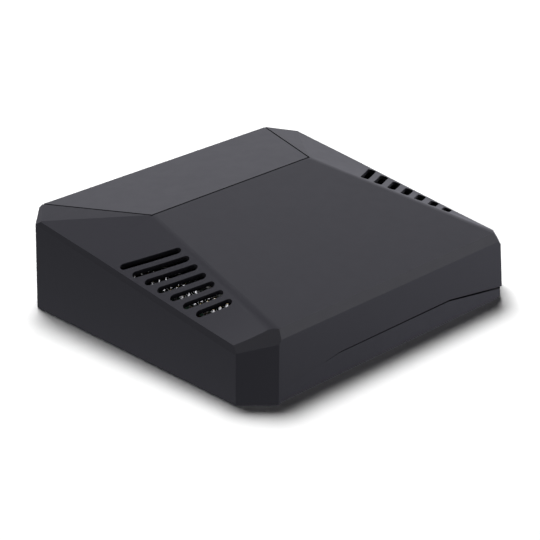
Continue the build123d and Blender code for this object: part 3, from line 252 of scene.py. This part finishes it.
def label_film():
    """Blank silver film with a faint rolled grain."""
    m = Material("label_film")
    grain = m.noise(1400, 3, 0.6, m.scaled((0.05, 1, 1)))
    m.link(m.ramp(grain, [(0.3, (0.5, 0.5, 0.49)), (0.7, (0.58, 0.58, 0.57))]), "Base Color")
    m.link(m.spread(grain, 0.38, 0.5), "Roughness")
    m.shader.inputs["Metallic"].default_value = 0.5
    m.bump(grain, 0.004 * MM)
    return m.material


dress(label_film(), "rating_label")

# ---------------------------------------------------------------- small parts soldered on the boards
# everything here is in millimetres
BOARD_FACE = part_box("main_board")[1][2] / MM
CARD_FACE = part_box("radio_card")[1][2] / MM
SMALL_SIZE = (1.6, 0.8, 0.6)
SMALL_END = 0.3  # length of an end cap
SMALL_EDGE = 0.07  # rounding of the edges, and how far the caps stand out
# first part's x and y, steps in x and y, height, along y, count
SMALL_ROWS = [
    (34.6, -26.0, 0.0, 3.1, BOARD_FACE, False, 14),
    (-28.0, -32.4, 4.0, 0.0, BOARD_FACE, True, 15),
    (-38.8, -15.5, 0.0, 2.9, CARD_FACE, True, 12),
]
LEG_SIZE = (0.35, 1.1, 0.18)  # width, reach of the foot, thickness
LEG_PITCH = 1.0
LEG_HIGH = 0.5
LEGGED_CHIPS = {"flash_chip": 5, "switch_chip": 9}  # legs on a side


def soft_box(shape, low, high, edge):
    """Adds a closed box with rounded edges to a bmesh, in millimetres."""
    size = [(b - a) * MM for a, b in zip(low, high)]
    middle = [(a + b) / 2 * MM for a, b in zip(low, high)]
    place = Matrix.Translation(middle) @ Matrix.Diagonal((*size, 1))
    made = bmesh.ops.create_cube(shape, size=1.0, matrix=place)
    edges = {e for v in made["verts"] for e in v.link_edges}
    bmesh.ops.bevel(shape, geom=list(edges), offset=edge * MM, segments=2, profile=0.5, affect="EDGES")


def piece_from(name, shape, material):
    """One new mesh piece on the node's fixed body."""
    mesh = bpy.data.meshes.new(name)
    shape.to_mesh(mesh)
    shape.free()
    mesh.materials.append(material)
    piece = bpy.data.objects.new(name, mesh)
    scene.collection.objects.link(piece)
    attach(piece, "node_body")


def small_parts(spots):
    """Chip resistors and capacitors: dark bodies between tinned end caps. spots are (x, y, z, along y)."""
    bodies, ends = bmesh.new(), bmesh.new()
    half, wide, tall = SMALL_SIZE[0] / 2, SMALL_SIZE[1] / 2, SMALL_SIZE[2]
    inner = half - SMALL_END
    pieces = [
        (ends, -half, -inner, wide, tall),
        (bodies, -inner, inner, wide - SMALL_EDGE, tall - SMALL_EDGE),
        (ends, inner, half, wide, tall),
    ]
    for x, y, z, along_y in spots:
        for shape, first, last, side, top in pieces:
            low, high = (first, -side), (last, side)
            if along_y:
                low, high = low[::-1], high[::-1]
            near = (x + low[0], y + low[1], z)
            far = (x + high[0], y + high[1], z + top)
            soft_box(shape, near, far, SMALL_EDGE)
    ceramic = moulded("sintered_brown", (0.12, 0.085, 0.06), rough=0.5, grain=0.004, grain_size=0.1)
    piece_from("small_part_bodies", bodies, ceramic)
    piece_from("small_part_ends", ends, metal("tinned_ends", TIN, rough=0.25))


def chip_legs(shape, chip, count):
    """Adds two rows of bent legs beside a chip: a flat foot on the board and a rise into the package."""
    leg_width, foot, skin = LEG_SIZE
    low_corner, high_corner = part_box(chip)
    middle_y = (low_corner[1] + high_corner[1]) / 2 / MM
    for side, edge_x in ((-1, low_corner[0] / MM), (1, high_corner[0] / MM)):
        for index in range(count):
            y = middle_y + (index - (count - 1) / 2) * LEG_PITCH
            for reach, low, high in ((foot, 0.0, skin), (foot / 2, skin / 2, LEG_HIGH)):
                start, end = sorted((edge_x, edge_x + side * reach))
                soft_box(shape, (start, y - leg_width / 2, BOARD_FACE + low),
                         (end, y + leg_width / 2, BOARD_FACE + high), skin / 4)


small_parts([(first_x + step_x * index, first_y + step_y * index, z, along_y)
             for first_x, first_y, step_x, step_y, z, along_y, count in SMALL_ROWS
             for index in range(count)])
legs = bmesh.new()
for chip, count in LEGGED_CHIPS.items():
    chip_legs(legs, chip, count)
piece_from("chip_legs", legs, metal("leg_tin", TIN, rough=0.28))

# ---------------------------------------------------------------- floor and light
FLOOR_SEEN = 0.98  # reflectance of the floor as the camera sees it
FLOOR_GLOW = (0.29, 0.46, 0.84)  # light off the floor onto the walls: rear left, middle, front right
FLOOR_ACROSS = (0.7, -0.7, 0.0)  # the direction in which it changes
FLOOR_FADE = 0.15  # distance from the middle over which that light changes
FLOOR_REACH = 6.0
GLOW_TINT = (0.98, 0.98, 1.12)
FAR_START = 0.3  # distances over which the floor fades to the white of the backdrop
FAR_END = 0.9
ROOM_TINT = (0.98, 0.98, 1.05, 1)
ROOM_DIM = 0.05
KEY_PLACE = (0.315, 0.49, 1.22)
KEY_SIZE = 0.64
KEY_POWER = 26.0
FILL_PLACE = (0.2, -1.1, 0.5)
FILL_SIZE = 0.9
FILL_POWER = 0.7
SPECK_PLACE = (-0.25, -0.24, 0.32)
SPECK_SIZE = 0.02
SPECK_POWER = 0.022
# (direction, cosine where the pool fades out, strength)
LIGHT_POOLS = [
    ((0.3, 0.3, 1.0), 0.3, 0.1),
    ((0.66, 0.70, 0.15), 0.55, 0.72),
    ((0.63, -0.68, 0.36), 0.8, 1.6),
    ((-0.6, 0.4, 0.7), 0.68, 1.8),
    ((-0.44, -0.40, 0.80), 0.81, 0.8),
]


def floor():
    """A pale sweep that the camera sees with its shadows, and that lights the walls evenly."""
    m = Material("pale_floor")
    seen = m.add("ShaderNodeLightPath").outputs["Is Camera Ray"]
    speck = m.ramp(m.noise(300, 2), [(0.3, 0.98 * FLOOR_SEEN), (0.7, FLOOR_SEEN)])
    along = m.add("ShaderNodeVectorMath", {0: m.place, 1: FLOOR_ACROSS}, operation="DOT_PRODUCT")
    across = {"Value": along.outputs["Value"], "From Min": -FLOOR_FADE, "From Max": FLOOR_FADE}
    share = m.add("ShaderNodeMapRange", across).outputs["Result"]
    glow = m.ramp(share, [(0.0, FLOOR_GLOW[0]), (0.5, FLOOR_GLOW[1]), (1.0, FLOOR_GLOW[2])])
    m.link(m.mix(seen, (0.0, 0.0, 0.0), speck), "Base Color")
    away = m.add("ShaderNodeVectorMath", {0: m.place}, operation="LENGTH").outputs["Value"]
    fade = {"Value": away, "From Min": FAR_START, "From Max": FAR_END}
    far = m.add("ShaderNodeMapRange", fade).outputs["Result"]
    m.link(m.mix(seen, m.mix(1.0, glow, GLOW_TINT, "MULTIPLY"), far), "Emission Color")
    m.shader.inputs["Emission Strength"].default_value = 1.0
    m.shader.inputs["Roughness"].default_value = 0.9
    m.shader.inputs["Specular IOR Level"].default_value = 0.0
    m.material.cycles.emission_sampling = "NONE"
    mesh = bpy.data.meshes.new("floor")
    shape = bmesh.new()
    bmesh.ops.create_circle(shape, cap_ends=True, segments=96, radius=FLOOR_REACH)
    shape.to_mesh(mesh)
    shape.free()
    piece = bpy.data.objects.new("floor", mesh)
    mesh.materials.append(m.material)
    scene.collection.objects.link(piece)


def softbox(name, place, size, power):
    """A square area light at place, aimed at the node."""
    light = bpy.data.lights.new(name, "AREA")
    light.shape = "SQUARE"
    light.size = size
    light.energy = power
    piece = bpy.data.objects.new(name, light)
    piece.location = place
    piece.rotation_euler = (-Vector(place)).to_track_quat("-Z", "Y").to_euler()
    piece.visible_glossy = False  # gives light, but no mirror image of itself
    scene.collection.objects.link(piece)
    return piece


def vent_light():
    """A small light for the parts behind the left vents: the shell neither takes its light nor blocks it."""
    light = softbox("speck_light", SPECK_PLACE, SPECK_SIZE, SPECK_POWER)
    light.visible_glossy = True
    inside = bpy.data.collections.new("seen_through_vents")
    for node in ("header_solder", "header_pins", "radio_card", "antenna_side_left"):
        inside.objects.link(NODES[node])
    light.light_linking.receiver_collection = inside
    light.light_linking.blocker_collection = inside


def studio_world():
    """A dim room with broad pools of light on its walls and ceiling, behind a white backdrop."""
    world = bpy.data.worlds.new("studio")
    world.use_nodes = True
    tree = world.node_tree
    background = tree.nodes["Background"]
    background.inputs["Color"].default_value = ROOM_TINT
    place = tree.nodes.new("ShaderNodeTexCoord").outputs["Generated"]
    total = None
    for direction, reach, strength in LIGHT_POOLS:
        cosine = tree.nodes.new("ShaderNodeVectorMath")
        cosine.operation = "DOT_PRODUCT"
        cosine.inputs[1].default_value = Vector(direction).normalized()
        tree.links.new(place, cosine.inputs[0])
        pool = tree.nodes.new("ShaderNodeMapRange")
        pool.interpolation_type = "SMOOTHSTEP"
        for key, value in {"From Min": reach, "From Max": 1.0, "To Min": 0.0, "To Max": strength}.items():
            pool.inputs[key].default_value = value
        tree.links.new(cosine.outputs["Value"], pool.inputs["Value"])
        both = tree.nodes.new("ShaderNodeMath")
        both.inputs[1].default_value = ROOM_DIM
        if total:
            tree.links.new(total, both.inputs[1])
        tree.links.new(pool.outputs["Result"], both.inputs[0])
        total = both.outputs["Value"]
    tree.links.new(total, background.inputs["Strength"])
    backdrop = tree.nodes.new("ShaderNodeBackground")
    backdrop.inputs["Color"].default_value = (1, 1, 1, 1)
    seen = tree.nodes.new("ShaderNodeLightPath").outputs["Is Camera Ray"]
    chosen = tree.nodes.new("ShaderNodeMixShader")
    tree.links.new(seen, chosen.inputs[0])
    tree.links.new(background.outputs["Background"], chosen.inputs[1])
    tree.links.new(backdrop.outputs["Background"], chosen.inputs[2])
    tree.links.new(chosen.outputs["Shader"], tree.nodes["World Output"].inputs["Surface"])
    world.cycles_visibility.diffuse = False  # the pools show only as reflections; the key lights the floor
    scene.world = world


floor()
studio_world()
softbox("key_softbox", KEY_PLACE, KEY_SIZE, KEY_POWER)
softbox("fill_softbox", FILL_PLACE, FILL_SIZE, FILL_POWER)
vent_light()

# ---------------------------------------------------------------- camera
CAMERA_PLACE = (-0.32697, -0.34189, 0.22394)
CAMERA_RIGHT = Vector((0.7202, -0.6935, -0.0167))
CAMERA_BACK = Vector((-0.6261, -0.6603, 0.4148))
CAMERA_SENSOR = 36
CAMERA_LENS = 120.9
CAMERA_SHIFT = (0.0123, -0.0019)
CAMERA_NEAR = 0.01

camera_data = bpy.data.cameras.new("camera")
camera_data.sensor_width = CAMERA_SENSOR
camera_data.lens = CAMERA_LENS
camera_data.shift_x, camera_data.shift_y = CAMERA_SHIFT
camera_data.clip_start = CAMERA_NEAR
camera = bpy.data.objects.new("camera", camera_data)
back = CAMERA_BACK.normalized()
right = (CAMERA_RIGHT - CAMERA_RIGHT.dot(back) * back).normalized()
facing = Matrix((right, back.cross(right), back)).transposed().to_4x4()
camera.matrix_world = Matrix.Translation(CAMERA_PLACE) @ facing
scene.collection.objects.link(camera)
scene.camera = camera
scene.view_settings.view_transform = "Standard"
